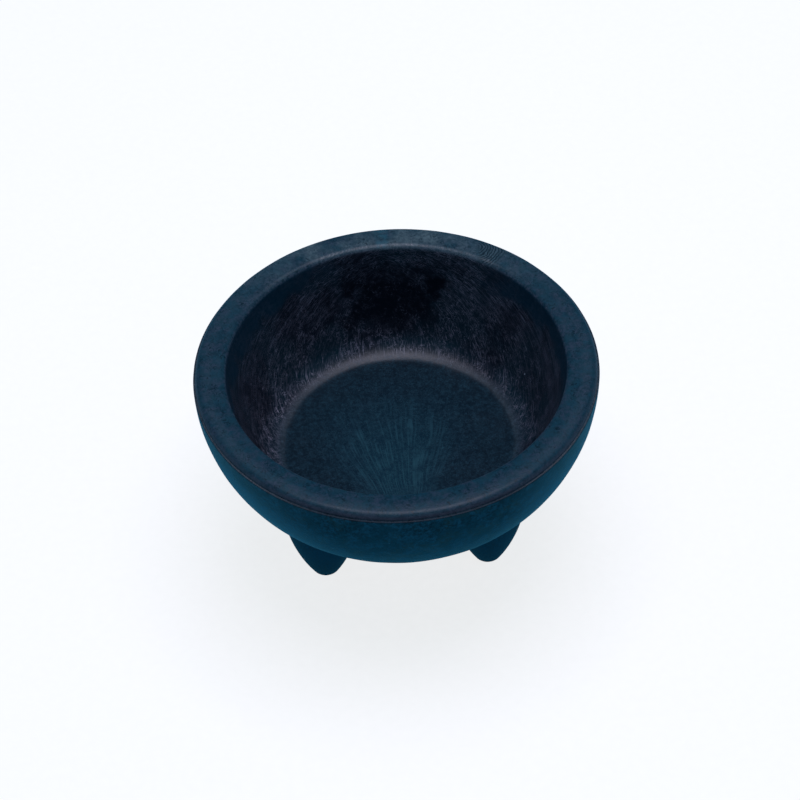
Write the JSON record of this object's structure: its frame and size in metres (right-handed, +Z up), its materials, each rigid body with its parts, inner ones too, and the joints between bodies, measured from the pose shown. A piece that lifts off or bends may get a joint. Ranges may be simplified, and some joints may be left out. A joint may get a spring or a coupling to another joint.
{
  "type": "molcajete",
  "caption": "Thick-walled round serving bowl in the form of a molcajete, moulded in dark plastic, with a flat rim and short tapered legs.",
  "frame": {"origin": "on the table, under the bowl's axis, at the level of the feet", "axes": "+Z up along the bowl's axis, +Y from the axis towards the rear leg, -Y the front, between the two front legs"},
  "size_m": [0.127, 0.127, 0.0762],
  "materials": {
    "bowl_plastic": "matte",
    "leg_plastic": "matte"
  },
  "bodies": {
    "root": {"bowl": "bowl_plastic", "front_left_leg": "leg_plastic", "front_right_leg": "leg_plastic", "rear_leg": "leg_plastic"}
  },
  "joints": []
}
